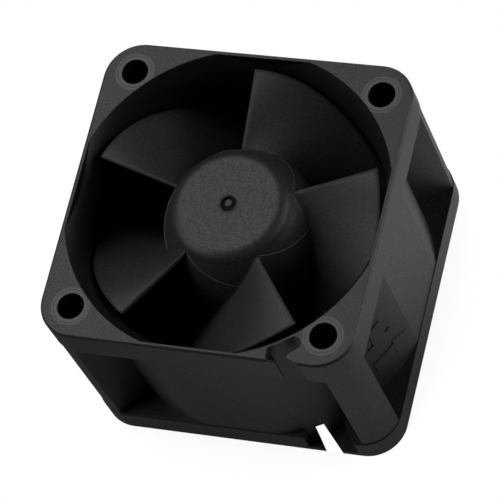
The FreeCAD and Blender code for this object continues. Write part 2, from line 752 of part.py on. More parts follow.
def insulator(label, level, upper):
    """One plastic half of the bobbin: an arm on each tooth, with a wall that holds the winding in."""
    body = new_body(label)
    collar = new_sketch(body, level=level)
    circle(collar, "tube_dia / 2 + collar_wall")
    circle(collar, "tube_dia / 2")
    feature(body, "Pad", collar, "insulator_height" if upper else "core_bottom - boss_top", not upper)
    arm = rectangle(new_sketch(body, level=level), "tube_dia / 2 + collar_wall / 2",
                    f"{CORE} - shoe_thick + insulator_wall",
                    "0 - neck_width / 2", "neck_width / 2")
    around(body, feature(body, "Pad", arm, "insulator_sheet", not upper), "tooth_count")
    wall = rectangle(new_sketch(body, level=level), f"{CORE} - shoe_thick",
                     f"{CORE} - shoe_thick + insulator_wall",
                     "0 - insulator_reach / 2", "insulator_reach / 2")
    around(body, feature(body, "Pad", wall, "insulator_height", not upper), "tooth_count")
    return body


def make_insulators():
    upper = insulator("upper_insulator", "core_top", True)
    lower = insulator("lower_insulator", "core_bottom", False)
    foot = new_sketch(lower, level="boss_top")
    circle(foot, f"{CORE} - foot_inset")
    circle(foot, "tube_dia / 2")
    feature(lower, "Pad", foot, "foot_thick")
    holes = pins(new_sketch(lower, level="boss_top + foot_thick"), "pin_dia / 2 + pin_clear")
    feature(lower, "Pocket", holes, "foot_thick")
    return [upper, lower]


def pins(sketch, radius):
    """A circle for each terminal pin, halfway between the teeth."""
    for index in range(int(value("tooth_count"))):
        angle = f"{360 / value('tooth_count') * (index + 0.5)}"
        circle(sketch, radius, f"{PIN_CIRCLE} * cos( {angle} )", f"{PIN_CIRCLE} * sin( {angle} )")
    return sketch


def make_coils():
    """A winding round each tooth, with rounded corners, that ends clear of the shoe's slanted back."""
    neck_end = f"{CORE} - shoe_thick"
    tip = f"( {CORE} - shoe_tip )"
    overhang = f"( {tip} * sin( shoe_angle ) - neck_width / 2 )"
    shoe_slant = f"( {neck_end} - {tip} * cos( shoe_angle ) ) / {overhang}"
    start = "tube_dia / 2 + collar_wall + coil_clear"
    reach = f"{neck_end} - ( coil_side_clear + coil_build ) * {shoe_slant} - coil_clear - ( {start} )"
    inner = "neck_width / 2 + coil_side_clear"
    outer = f"( {inner} + coil_build )"
    bottom = "core_bottom - insulator_sheet - coil_clear"
    top = "core_top + insulator_sheet + coil_clear"
    outer_bottom = f"{bottom} - coil_build"
    outer_top = f"{top} + coil_build"
    made = []
    for index in range(int(value("tooth_count"))):
        body = new_body(f"coil_{index + 1}")
        sketch = new_sketch(body, "YZ_Plane", level=start)
        outline(sketch, [
            (f"coil_round - {outer}", outer_bottom), (f"{outer} - coil_round", outer_bottom, "coil_round"),
            (outer, f"{outer_bottom} + coil_round"), (outer, f"{outer_top} - coil_round", "coil_round"),
            (f"{outer} - coil_round", outer_top), (f"coil_round - {outer}", outer_top, "coil_round"),
            (f"0 - {outer}", f"{outer_top} - coil_round"),
            (f"0 - {outer}", f"{outer_bottom} + coil_round", "coil_round")])
        rectangle(sketch, f"0 - ( {inner} )", inner, bottom, top)
        feature(body, "Pad", sketch, reach)
        body.Placement = Placement(Vector(), Rotation(Vector(0, 0, 1), 360 / value("tooth_count") * index))
        made.append(body)
    return made


# ---------------------------------------------------------------- board

def make_board():
    body = new_body("circuit_board")
    sketch = new_sketch(body, level="board_bottom")
    circle(sketch, BOARD)
    circle(sketch, "tube_dia / 2 + boss_wall + board_clear")
    pins(sketch, "pin_dia / 2 + pin_clear")
    feature(body, "Pad", sketch, "board_thick")
    return body


def make_pins():
    made = []
    for index in range(int(value("tooth_count"))):
        angle = math.radians(360 / value("tooth_count") * (index + 0.5))
        foot = Vector(math.cos(angle), math.sin(angle), 0) * value(PIN_CIRCLE)
        foot.z = value("pin_bottom")
        made.append(Part.makeCylinder(value("pin_dia / 2"), value("pin_top - pin_bottom"), foot))
    group = doc.addObject("Part::Feature", "terminal_pins")
    group.Shape = Part.makeCompound(made)
    return group


def board_parts(label, angles, name, upper, circle_radius):
    """Small rectangular parts on one face of the board, each with its long side across the radius."""
    length, width, height = (value(f"{name}_{word}") for word in ("length", "width", "height"))
    level = value("board_bottom + board_thick") if upper else value("board_bottom") - height
    blocks = []
    for angle in angles:
        corner = Vector(value(circle_radius) - width / 2, -length / 2, level)
        block = Part.makeBox(width, length, height, corner)
        block = block.makeChamfer(height * value("part_bevel_share"), [edge for edge in block.Edges
                                                  if abs(edge.BoundBox.ZLength - height) < 1e-6])
        block.rotate(Vector(), Vector(0, 0, 1), angle)
        blocks.append(block)
    made = doc.addObject("Part::Feature", label)
    made.Shape = blocks[0] if len(blocks) == 1 else Part.makeCompound(blocks)
    return made


# ---------------------------------------------------------------- assembly

parts = [make_frame(), make_impeller()]
parts += make_rotor_parts()
parts += [make_clip()]
parts += make_spring_washers()
parts += make_bearings()
parts += [make_core()]
parts += make_insulators()
parts += make_coils()
parts += [make_board(), make_pins()]
parts += [
    board_parts("driver_chip", [200.0], "chip", False, PART_CIRCLE),
    board_parts("hall_sensor", [0.0], "chip", True, SENSOR_CIRCLE),
    board_parts("board_capacitors", [150.0, 250.0], "capacitor", False, PART_CIRCLE),
    board_parts("board_resistors", [20.0, 90.0, 110.0], "resistor", False, PART_CIRCLE),
]
doc.recompute()

for item in doc.Objects:
    if "Invalid" in item.State or "Error" in item.State:
        raise RuntimeError(f"{item.Name} is {item.State}")
for part in parts:
    if part.Shape.isNull() or not part.Shape.isValid():
        raise RuntimeError(f"{part.Label} has no valid shape")
for part in parts:
    part.Shape.exportStep(f"parts/{part.Label}.step")
    print(part.Label, len(part.Shape.Solids), round(part.Shape.Volume, 3))
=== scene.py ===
import math

import bpy
from mathutils import Matrix, Quaternion, Vector


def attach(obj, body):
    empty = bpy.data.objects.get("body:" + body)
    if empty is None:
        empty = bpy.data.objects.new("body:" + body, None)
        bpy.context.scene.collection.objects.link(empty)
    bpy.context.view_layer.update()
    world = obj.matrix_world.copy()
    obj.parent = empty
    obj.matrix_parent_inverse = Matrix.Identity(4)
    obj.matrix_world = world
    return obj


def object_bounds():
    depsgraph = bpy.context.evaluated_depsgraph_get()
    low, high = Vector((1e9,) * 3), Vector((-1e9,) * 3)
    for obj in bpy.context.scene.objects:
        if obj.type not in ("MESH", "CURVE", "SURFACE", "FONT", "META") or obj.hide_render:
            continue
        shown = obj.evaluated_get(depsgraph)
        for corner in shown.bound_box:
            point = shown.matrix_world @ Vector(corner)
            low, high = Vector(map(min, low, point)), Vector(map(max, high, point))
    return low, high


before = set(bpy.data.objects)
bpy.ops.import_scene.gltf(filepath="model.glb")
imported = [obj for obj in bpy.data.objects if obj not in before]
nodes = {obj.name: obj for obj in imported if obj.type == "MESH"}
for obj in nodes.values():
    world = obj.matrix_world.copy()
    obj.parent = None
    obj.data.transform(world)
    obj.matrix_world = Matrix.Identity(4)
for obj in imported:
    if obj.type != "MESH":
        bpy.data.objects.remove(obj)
cad_low, cad_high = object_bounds()

# ---------------------------------------------------------------- camera
# A long lens looks down on the intake face from the side of the wire slot, rolled so that the fan
# seems to stand on one corner.
MM = 0.001
CAMERA_ROLL = math.radians(-30.70)
CAMERA_DISTANCE = 410.5 * MM
CAMERA_LENS, CAMERA_SENSOR = 238.4, 36.0      # mm
AIM = (cad_low + cad_high) / 2 + Vector((-0.72, -0.11, 0.0)) * MM


def towards(azimuth, elevation):
    """The direction from the fan to a spot at that azimuth, 0 being -Y and 90 being +X, and elevation."""
    turn, lift = math.radians(azimuth), math.radians(elevation)
    return Vector((math.sin(turn) * math.cos(lift), -math.cos(turn) * math.cos(lift), math.sin(lift)))


back = towards(40.96, 60.30)
bpy.ops.object.select_all(action="DESELECT")
bpy.ops.object.camera_add(location=AIM + back * CAMERA_DISTANCE)
camera = bpy.context.object
camera.rotation_mode = "QUATERNION"
camera.rotation_quaternion = (-back).to_track_quat("-Z", "Y") @ Quaternion((0, 0, 1), CAMERA_ROLL)
camera.data.lens = CAMERA_LENS
camera.data.sensor_width = CAMERA_SENSOR
camera.data.clip_start = 0.01
camera.data.clip_end = 10.0
bpy.context.scene.camera = camera

# ---------------------------------------------------------------- floor, backdrop and light
# The fan stands on white paper that runs on as the backdrop, in soft light. One lamp hangs high behind
# it, one stands at its left and a low one at its right, and a weak one fills in above that.
scene = bpy.context.scene
scene.view_settings.view_transform = "Standard"


def linear(code):
    """An sRGB hex colour as the linear values that a shader takes."""
    parts = [int(code[place:place + 2], 16) / 255 for place in (1, 3, 5)]
    return [part / 12.92 if part <= 0.04045 else ((part + 0.055) / 1.055) ** 2.4 for part in parts] + [1.0]


def add_node(tree, kind, settings=(), links=()):
    """Adds one shader node, sets its properties, and gives its inputs a value or another node's output.
    By number, MapRange takes a value, the ends of its range and the ends of the new range, and Mix a
    share and its two sides."""
    node = tree.nodes.new("ShaderNode" + kind)
    for name, value in dict(settings).items():
        setattr(node, name, value)
    for place, value in dict(links).items():
        if isinstance(value, bpy.types.NodeSocket):
            tree.links.new(value, node.inputs[place])
        else:
            node.inputs[place].default_value = value
    return node


def new_material(name):
    """An empty node material and its tree."""
    material = bpy.data.materials.new(name)
    material.use_nodes = True
    material.node_tree.nodes.clear()
    return material, material.node_tree


HALF_SIDE = 20 * MM
HOLE_OFFSET, HOLE_RADIUS = 16 * MM, 1.7 * MM      # the screw holes stand that far from the axis both ways


def hole_distance(tree, place):
    """How far a spot lies from the axis of the screw hole in its quarter."""
    quarter = add_node(tree, "VectorMath", {"operation": "ABSOLUTE"}, {0: place})
    flat = add_node(tree, "VectorMath", {"operation": "MULTIPLY"}, {0: quarter.outputs[0], 1: (1, 1, 0)})
    away = add_node(tree, "VectorMath", {"operation": "DISTANCE"},
                    {0: flat.outputs[0], 1: (HOLE_OFFSET, HOLE_OFFSET, 0)})
    return away.outputs["Value"]


def square_distance(tree, place):
    """How far a spot lies from the axis, measured square to the nearest of the fan's sides."""
    quarter = add_node(tree, "VectorMath", {"operation": "ABSOLUTE"}, {0: place})
    sides = add_node(tree, "SeparateXYZ", links={0: quarter.outputs[0]})
    away = add_node(tree, "Math", {"operation": "MAXIMUM"}, {0: sides.outputs[0], 1: sides.outputs[1]})
    return away.outputs[0]


def painted_light_towards(tree, place, azimuth, start, end, low, high):
    """How bright the paper is in a shine: a painted pool of light, rising between two distances from the axis
    on one side.
    """
    along = add_node(tree, "VectorMath", {"operation": "DOT_PRODUCT"}, {0: place, 1: towards(azimuth, 0)})
    rising = add_node(tree, "MapRange", {"interpolation_type": "SMOOTHSTEP"},
                      {0: along.outputs["Value"], 1: start, 2: end, 3: low, 4: high})
    return rising.outputs[0]


# Matt white paper. It looks white to the eye. In a shine it is dimmer, with painted shade there and a painted
# pool of light behind the right side and before the corner with the wire exit. Painted shadow makes it dark
# where the duct and the screw holes stand over it, and a painted soft shadow lies round the fan.
backdrop, tree = new_material("white_backdrop_paper")
rays = add_node(tree, "LightPath")
mirrored = add_node(tree, "Math", {"operation": "MAXIMUM"},
                    {0: rays.outputs["Is Glossy Ray"], 1: rays.outputs["Is Transmission Ray"]})
seen = add_node(tree, "Math", {"operation": "MAXIMUM"},
                {0: rays.outputs["Is Camera Ray"], 1: mirrored.outputs[0]})
spot = add_node(tree, "TexCoord").outputs["Object"]
# In a shine the paper gets a painted pool of light on two sides and painted shade elsewhere.
painted_shine = add_node(tree, "Math", {"operation": "ADD"},
               {0: painted_light_towards(tree, spot, azimuth=150, start=0.0, end=25 * MM, low=0.12, high=0.56),
                1: painted_light_towards(tree, spot, azimuth=30, start=20 * MM, end=34 * MM, low=0.0, high=0.2)})
painted_shade_in_shine = add_node(tree, "Math", {"operation": "MULTIPLY"}, {0: mirrored.outputs[0], 1: painted_shine.outputs[0]})
level = add_node(tree, "Math", {"operation": "MAXIMUM"},
                 {0: rays.outputs["Is Camera Ray"], 1: painted_shade_in_shine.outputs[0]})

# Painted shadow darkens the paper inside the bore, out to the chamfer where the bore ends on the paper, and
# inside the screw holes. Past x = 8 mm the wire exit opens beside the bore, and white paper shows in the
# exit.
BORE_RADIUS, BORE_CHAMFER = 18.9 * MM, 0.5 * MM
EXIT_START = 8 * MM
SHADOW_REACH, SHADOW_TONE = 30 * MM, 0.8
from_axis = add_node(tree, "VectorMath", {"operation": "LENGTH"}, {0: spot})
along_x = add_node(tree, "SeparateXYZ", links={0: spot})
before_exit = add_node(tree, "Math", {"operation": "LESS_THAN"}, {0: along_x.outputs[0], 1: EXIT_START})
reach = add_node(tree, "Math", {"operation": "MULTIPLY_ADD"},
                 {0: before_exit.outputs[0], 1: BORE_CHAMFER, 2: BORE_RADIUS})
in_bore = add_node(tree, "Math", {"operation": "LESS_THAN"},
                   {0: from_axis.outputs["Value"], 1: reach.outputs[0]})
in_hole = add_node(tree, "Math", {"operation": "LESS_THAN"}, {0: hole_distance(tree, spot), 1: HOLE_RADIUS})
# Under the bore and the screw holes the paper does not glow at all: a painted shadow.
bore_and_hole_painted_shadow = add_node(tree, "Math", {"operation": "MAXIMUM"}, {0: in_bore.outputs[0], 1: in_hole.outputs[0]})
open_paper = add_node(tree, "Math", {"operation": "SUBTRACT"}, {0: 1.0, 1: bore_and_hole_painted_shadow.outputs[0]})
under_fan = add_node(tree, "Math", {"operation": "LESS_THAN"}, {0: square_distance(tree, spot), 1: HALF_SIDE})
covered = add_node(tree, "AmbientOcclusion", {"samples": 16}, {"Distance": SHADOW_REACH})
shadow = add_node(tree, "MapRange", links={0: covered.outputs["AO"], 1: 0.25, 2: 0.6, 3: SHADOW_TONE, 4: 1.0})
shade = add_node(tree, "Mix", {"data_type": "FLOAT"},
                 {0: under_fan.outputs[0], 2: shadow.outputs[0], 3: open_paper.outputs[0]})
strength = add_node(tree, "Math", {"operation": "MULTIPLY"}, {0: level.outputs[0], 1: shade.outputs[0]})
paper = add_node(tree, "BsdfDiffuse", links={"Color": linear("#bcbcbc")})
glow = add_node(tree, "Emission", links={"Color": linear("#ffffff"), "Strength": strength.outputs[0]})
mixed = add_node(tree, "MixShader", links={0: seen.outputs[0], 1: paper.outputs[0], 2: glow.outputs[0]})
add_node(tree, "OutputMaterial", links={"Surface": mixed.outputs[0]})

FLOOR_SIDE = 3.0           # m
FLOOR_GAP = 0.02 * MM      # keeps the paper clear of the fan's exhaust face
bpy.ops.object.select_all(action="DESELECT")
bpy.ops.mesh.primitive_plane_add(size=FLOOR_SIDE, location=(0, 0, cad_low.z - FLOOR_GAP))
floor = bpy.context.object
floor.name = "floor"
floor.data.materials.append(backdrop)

# The room is white to the eye and almost dark to the fan, which the lamps light.
ROOM_LEVEL = 0.008
world = bpy.data.worlds.new("studio")
scene.world = world
world.use_nodes = True
tree = world.node_tree
tree.nodes.clear()
rays = add_node(tree, "LightPath")
level = add_node(tree, "Math", {"operation": "MAXIMUM"}, {0: rays.outputs["Is Camera Ray"], 1: ROOM_LEVEL})
room = add_node(tree, "Background", links={"Color": linear("#ffffff"), "Strength": level.outputs[0]})
add_node(tree, "OutputWorld", links={"Surface": room.outputs[0]})

LAMP_DISTANCE, LAMP_SIDE = 0.60, 0.30      # m


def softbox(name, azimuth, elevation, power):
    """A square lamp that faces the fan from a given side and height."""
    away = towards(azimuth, elevation)
    bpy.ops.object.select_all(action="DESELECT")
    bpy.ops.object.light_add(type="AREA", location=AIM + away * LAMP_DISTANCE)
    lamp = bpy.context.object
    lamp.name = name
    lamp.data.shape = "SQUARE"
    lamp.data.size = LAMP_SIDE
    lamp.data.energy = power
    lamp.rotation_mode = "QUATERNION"
    lamp.rotation_quaternion = (-away).to_track_quat("-Z", "Y")


softbox("high_softbox", azimuth=228, elevation=60, power=0.80)
softbox("right_softbox", azimuth=112, elevation=15, power=0.85)
softbox("right_fill", azimuth=90, elevation=34, power=0.15)
softbox("left_softbox", azimuth=290, elevation=42, power=0.72)

# ---------------------------------------------------------------- fan_frame
# The frame is one moulding of glass-filled PBT. Its tool was spark eroded, so every face has a fine
# even grain. The pins that form the screw holes leave a smoother ring round each hole, painted brighter
# as a painted sheen. The mouth, the bore and the screw holes are darkened by painted shade.
GRAIN_LOW, GRAIN_HIGH = 0.35, 0.65      # the grain's noise lies mostly between these
GRAIN_TONES = (0.38, 0.62)              # where in it the dark and the light tone are reached
GLOSS_SPREAD = 0.05


def moulded(name, dark, light, roughness, grain_mm, grain_depth_mm, edge_mm=0.03, finishes=()):
    """A moulded, pressed or coated surface: a fine grain in tone, gloss and bump, with edges that catch
    the light as if rounded by edge_mm. Each of finishes gives a mask, and the colour and roughness there."""
    material, tree = new_material(name)
    place = add_node(tree, "TexCoord").outputs["Object"]
    grain = add_node(tree, "TexNoise", links={
        "Vector": place, "Scale": 1 / (grain_mm * MM), "Detail": 2.0, "Roughness": 0.7})
    tone = add_node(tree, "ValToRGB", links={0: grain.outputs[0]})
    for stop, place_on_ramp, code in zip(tone.color_ramp.elements, GRAIN_TONES, (dark, light)):
        stop.position = place_on_ramp
        stop.color = linear(code)
    gloss = add_node(tree, "MapRange", links={
        0: grain.outputs[0], 1: GRAIN_LOW, 2: GRAIN_HIGH,
        3: roughness + GLOSS_SPREAD, 4: roughness - GLOSS_SPREAD})
    soft_edges = add_node(tree, "Bevel", {"samples": 4}, {"Radius": edge_mm * MM})
    relief = add_node(tree, "Bump", links={
        "Height": grain.outputs[0], "Strength": 1.0, "Distance": grain_depth_mm * MM,
        "Normal": soft_edges.outputs[0]})
    colour, finish = tone.outputs[0], gloss.outputs[0]
    for finish_of in finishes:
        mask, its_colour, its_roughness = finish_of(tree, place)
        colour = add_node(tree, "Mix", {"data_type": "RGBA"},
                          {0: mask, 6: colour, 7: linear(its_colour)}).outputs[2]
        finish = add_node(tree, "Mix", {"data_type": "FLOAT"},
                          {0: mask, 2: finish, 3: its_roughness}).outputs[0]
    shader = add_node(tree, "BsdfPrincipled", links={
        "Base Color": colour, "Roughness": finish, "Normal": relief.outputs[0], "IOR": 1.5})
    add_node(tree, "OutputMaterial", links={"Surface": shader.outputs[0]})
    return material


FACE_LEVEL = 28 * MM
FACE_SKIN = 0.05 * MM                              # the face's finish runs this far down its edges
RING_END, RING_FADED = 2.4 * MM, 2.62 * MM         # the ring and its painted sheen fade out between these radii
RING_DEPTH = 0.2 * MM
MOUTH_RADIUS, MOUTH_SIDE = 20.5 * MM, 19.7 * MM    # past the mouth's rim, and short of the fan's sides


def hole_rings_painted_sheen(tree, place):
    """A mask of the smoother rings round the screw holes on the intake face, with their gloss and a brighter
    colour that is a painted sheen.
    """
    away = hole_distance(tree, place)
    inside = add_node(tree, "MapRange", {"interpolation_type": "SMOOTHSTEP"},
                      {0: away, 1: RING_END, 2: RING_FADED, 3: 1.0, 4: 0.0})
    outside = add_node(tree, "MapRange", {"interpolation_type": "SMOOTHSTEP"},
                       {0: away, 1: HOLE_RADIUS - 0.02 * MM, 2: HOLE_RADIUS + 0.02 * MM, 3: 0.0, 4: 1.0})
    height = add_node(tree, "SeparateXYZ", links={0: place}).outputs[2]
    on_face = add_node(tree, "Math", {"operation": "GREATER_THAN"}, {0: height, 1: FACE_LEVEL - RING_DEPTH})
    ring = add_node(tree, "Math", {"operation": "MULTIPLY"}, {0: inside.outputs[0], 1: outside.outputs[0]})
    mask = add_node(tree, "Math", {"operation": "MULTIPLY"}, {0: ring.outputs[0], 1: on_face.outputs[0]})
    return mask.outputs[0], "#555556", 0.4


def bore_painted_shade(tree, place):
    """A mask of the mouth, the bore and the screw holes: painted shade makes them darker, and the polished
    pins that form them make them shine.
    """
    flat = add_node(tree, "VectorMath", {"operation": "MULTIPLY"}, {0: place, 1: (1, 1, 0)})
    from_axis = add_node(tree, "VectorMath", {"operation": "LENGTH"}, {0: flat.outputs[0]})
    in_round = add_node(tree, "Math", {"operation": "LESS_THAN"},
                        {0: from_axis.outputs["Value"], 1: MOUTH_RADIUS})
    in_sides = add_node(tree, "Math", {"operation": "LESS_THAN"},
                        {0: square_distance(tree, place), 1: MOUTH_SIDE})
    in_bore = add_node(tree, "Math", {"operation": "MULTIPLY"},
                       {0: in_round.outputs[0], 1: in_sides.outputs[0]})
    in_hole = add_node(tree, "Math", {"operation": "LESS_THAN"},
                       {0: hole_distance(tree, place), 1: HOLE_RADIUS + 0.03 * MM})
    in_either = add_node(tree, "Math", {"operation": "MAXIMUM"},
                         {0: in_bore.outputs[0], 1: in_hole.outputs[0]})
    height = add_node(tree, "SeparateXYZ", links={0: place}).outputs[2]
    under_face = add_node(tree, "Math", {"operation": "LESS_THAN"}, {0: height, 1: FACE_LEVEL - FACE_SKIN})
    mask = add_node(tree, "Math", {"operation": "MULTIPLY"},
                    {0: in_either.outputs[0], 1: under_face.outputs[0]})
    return mask.outputs[0], "#1a1a1b", 0.38


def dress(material, *names):
    """Gives CAD nodes a finish in place of the one that they were packed with."""
    for name in names:
        for spot in nodes[name].material_slots:
            spot.material = material


PBT_DARK, PBT_LIGHT, PBT_ROUGHNESS = "#272728", "#3e3e3f", 0.45
PBT_GRAIN, PBT_GRAIN_DEPTH = 0.2, 0.02      # mm; the grain is about 0.05, drawn coarser so that it shows
black_frame = moulded("black_glass_filled_PBT_spark_eroded", PBT_DARK, PBT_LIGHT, PBT_ROUGHNESS,
                      PBT_GRAIN, PBT_GRAIN_DEPTH, 0.12, (hole_rings_painted_sheen, bore_painted_shade))
dress(black_frame, "fan_frame")

# ---------------------------------------------------------------- screw hole lands
# The shoulders of the hole pins leave a smooth land round each hole, flush with the intake face and of
# the same moulding as the frame.
LAND_RADIUS, LAND_DEPTH = 2.205 * MM, 0.14 * MM


def join_copies(piece, moves):
    """Copies a piece once for each matrix, moves the copy's vertices by it, and joins all to the piece."""
    copies = [piece]
    for move in moves:
        bpy.ops.object.select_all(action="DESELECT")
        piece.select_set(True)
        bpy.context.view_layer.objects.active = piece
        bpy.ops.object.duplicate(linked=False)
        copy = bpy.context.object
        for vertex in copy.data.vertices:
            vertex.co = move @ vertex.co
        copies.append(copy)
    bpy.ops.object.select_all(action="DESELECT")
    for copy in copies:
        copy.select_set(True)
    bpy.context.view_layer.objects.active = piece
    bpy.ops.object.join()


bpy.ops.object.select_all(action="DESELECT")
bpy.ops.mesh.primitive_circle_add(vertices=64, radius=LAND_RADIUS, fill_type="NGON",
                                  location=(HOLE_OFFSET, HOLE_OFFSET, FACE_LEVEL - LAND_DEPTH))
lands = bpy.context.object
lands.name = "screw_hole_lands"
bpy.ops.object.transform_apply(location=True, rotation=False, scale=False)
bpy.ops.object.mode_set(mode="EDIT")
bpy.ops.mesh.select_all(action="SELECT")
bpy.ops.mesh.inset(thickness=LAND_RADIUS - HOLE_RADIUS)
bpy.ops.mesh.delete(type="FACE")
bpy.ops.mesh.select_all(action="SELECT")
bpy.ops.mesh.extrude_region_move(TRANSFORM_OT_translate={"value": (0, 0, LAND_DEPTH)})
bpy.ops.mesh.select_all(action="SELECT")
bpy.ops.mesh.normals_make_consistent(inside=False)
bpy.ops.object.mode_set(mode="OBJECT")
join_copies(lands, [Matrix.Rotation(math.radians(turn), 3, "Z") for turn in (90, 180, 270)])
lands.data.materials.append(black_frame)
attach(lands, "frame")

# ---------------------------------------------------------------- duct edges
# On the two sides that the mould's slides form, the flat of the duct meets its round wall in a crisp
# edge. The bar along each edge is part of the frame's moulding.
DUCT_RADIUS = 20.6 * MM
FLAT_SIDE = 19.88 * MM
DUCT_BLEND = 10.0 * MM
WALL_ROOT = 0.1 * MM                           # how far a form on the wall runs down into it
EDGE_LOW, EDGE_HIGH = 3.5 * MM, 23.4 * MM      # between the two flanges
EDGE_TURN = math.acos(FLAT_SIDE / DUCT_RADIUS)
EDGE_SPREAD = math.radians(6.8)                # the bar's reach to each side of the crisp edge
EDGE_PROUD, EDGE_DIP = 0.006 * MM, 0.03 * MM   # its top stands proud, and its long edges dip into the wall


def duct_wall(angle):
    """The distance of the duct's right wall from the axis: a flat, a wide blend and the round duct."""
    across = FLAT_SIDE - DUCT_BLEND
    along = math.sqrt((DUCT_RADIUS - DUCT_BLEND) ** 2 - across ** 2)
    turn = abs(angle)
    if turn > math.atan2(along, across):
        return DUCT_RADIUS
    if math.tan(turn) * FLAT_SIDE < along:
        return FLAT_SIDE / math.cos(turn)
    reach = across * math.cos(turn) + along * math.sin(turn)
    return reach + math.sqrt(reach ** 2 - across ** 2 - along ** 2 + DUCT_BLEND ** 2)


bpy.ops.object.select_all(action="DESELECT")
bpy.ops.mesh.primitive_plane_add(size=1.0, location=(0, 0, 0))
edges = bpy.context.object
edges.name = "duct_flat_edges"
bpy.ops.object.mode_set(mode="EDIT")
bpy.ops.mesh.select_all(action="SELECT")
bpy.ops.mesh.subdivide(number_cuts=7)
bpy.ops.mesh.extrude_region_move(TRANSFORM_OT_translate={"value": (0, 0, 1)})
bpy.ops.object.mode_set(mode="OBJECT")
for vertex in edges.data.vertices:
    angle = EDGE_TURN + 2 * EDGE_SPREAD * vertex.co.x
    dip = EDGE_DIP * (2 * vertex.co.x) ** 6
    crisp = min(FLAT_SIDE / math.cos(angle), DUCT_RADIUS) + EDGE_PROUD - dip
    away = crisp if vertex.co.z > 0.5 else duct_wall(angle) - WALL_ROOT
    vertex.co = (away * math.cos(angle), away * math.sin(angle),
                 (EDGE_LOW + EDGE_HIGH) / 2 + (EDGE_HIGH - EDGE_LOW) * vertex.co.y)
join_copies(edges, [Matrix.Diagonal((across, along, 1)) for across, along in ((1, -1), (-1, 1), (-1, -1))])
bpy.ops.object.mode_set(mode="EDIT")
bpy.ops.mesh.select_all(action="SELECT")
bpy.ops.mesh.normals_make_consistent(inside=False)
bpy.ops.object.mode_set(mode="OBJECT")
edges.data.materials.append(black_frame)
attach(edges, "frame")

# ---------------------------------------------------------------- duct arrows
# Two block arrows stand proud of the duct's right wall, cut as hollows in the mould: one shows the way
# of the air, towards the exhaust, and the other the way that the impeller turns.
ARROW_HEIGHT = 0.14 * MM
ARROW_TIP = 0.06                 # the tip's width as a share of the head's
ARROW_SHOULDER = 0.01 * MM       # from the end of the shaft to the head's full width
ARROW_WEAR = 0.03 * MM
TOUCHING = 0.001 * MM


def block_arrow(name, shaft_length, shaft_width, head_length, head_width, turn, arc, height):
    """A block arrow drawn flat, pointing along X, then turned and laid on the duct's right wall, its
    middle that far round the wall from the middle of the flat and at that height."""
    bpy.ops.object.select_all(action="DESELECT")
    bpy.ops.mesh.primitive_plane_add(size=1.0, location=(0, 0, 0))
    arrow = bpy.context.object
    arrow.name = name
    bpy.ops.object.mode_set(mode="EDIT")
    bpy.ops.transform.resize(value=(shaft_length, shaft_width, 1))
    bpy.ops.object.mode_set(mode="OBJECT")
    front = max(vertex.co.x for vertex in arrow.data.vertices)
    bpy.ops.object.mode_set(mode="EDIT")
    bpy.ops.mesh.select_mode(type="EDGE")
    bpy.ops.mesh.select_all(action="DESELECT")
    bpy.ops.object.mode_set(mode="OBJECT")
    for edge in arrow.data.edges:
        edge.select = all(arrow.data.vertices[end].co.x > front - TOUCHING for end in edge.vertices)
    bpy.ops.object.mode_set(mode="EDIT")
    bpy.ops.mesh.extrude_region_move(TRANSFORM_OT_translate={"value": (ARROW_SHOULDER, 0, 0)})
    bpy.ops.transform.resize(value=(1, head_width / shaft_width, 1), center_override=(front, 0, 0))
    bpy.ops.mesh.extrude_region_move(TRANSFORM_OT_translate={"value": (head_length, 0, 0)})
    bpy.ops.transform.resize(value=(1, ARROW_TIP, 1), center_override=(front, 0, 0))
    bpy.ops.mesh.select_all(action="SELECT")
    bpy.ops.mesh.subdivide(number_cuts=5)
    bpy.ops.mesh.extrude_region_move(TRANSFORM_OT_translate={"value": (0, 0, ARROW_HEIGHT + WALL_ROOT)})
    bpy.ops.object.mode_set(mode="OBJECT")
    for vertex in arrow.data.vertices:
        x, y, rise = vertex.co
        side = arc + x * math.cos(turn) - y * math.sin(turn)
        angle = side / DUCT_RADIUS
        away = duct_wall(angle) + rise - WALL_ROOT
        vertex.co = (away * math.cos(angle), away * math.sin(angle),
                     height + x * math.sin(turn) + y * math.cos(turn))
    bpy.ops.object.mode_set(mode="EDIT")
    bpy.ops.mesh.select_all(action="SELECT")
    bpy.ops.mesh.normals_make_consistent(inside=False)
    bpy.ops.object.mode_set(mode="OBJECT")
    bevel = arrow.modifiers.new("worn_edge", "BEVEL")
    bevel.width = ARROW_WEAR
    bevel.limit_method = "ANGLE"
    bpy.ops.object.modifier_apply(modifier=bevel.name)
    arrow.data.materials.append(black_frame)
    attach(arrow, "frame")


block_arrow("air_flow_arrow", shaft_length=3.45 * MM, shaft_width=2.1 * MM, head_length=2.2 * MM,
            head_width=4.1 * MM, turn=math.radians(-90), arc=-10.2 * MM, height=15.4 * MM)
block_arrow("rotation_arrow", shaft_length=3.6 * MM, shaft_width=1.93 * MM, head_length=2.7 * MM,
            head_width=3.3 * MM, turn=0.0, arc=-10.6 * MM, height=8.87 * MM)

# ---------------------------------------------------------------- impeller
# The impeller is moulded in the same resin as the frame, in one piece with its five blades. It is fed at
# the middle of the hub, where the dimple keeps the torn gate below the face.
DIMPLE_FLOOR, DIMPLE_RADIUS = 26.8 * MM, 1.03 * MM


def dimple_painted_shade(tree, place):
    """A mask of the dimple in the hub's face, darker with painted shade in the hollow, and with a rough sunk
    floor.
    """
    away = add_node(tree, "VectorMath", {"operation": "DISTANCE"}, {0: place, 1: (0, 0, DIMPLE_FLOOR)})
    mask = add_node(tree, "Math", {"operation": "LESS_THAN"}, {0: away.outputs["Value"], 1: DIMPLE_RADIUS})
    return mask.outputs[0], "#0c0c0d", 0.9


black_impeller = moulded("black_glass_filled_PBT_fine_grain", PBT_DARK, PBT_LIGHT, PBT_ROUGHNESS,
                         PBT_GRAIN, PBT_GRAIN_DEPTH, 0.7, (dimple_painted_shade,))
dress(black_impeller, "impeller")

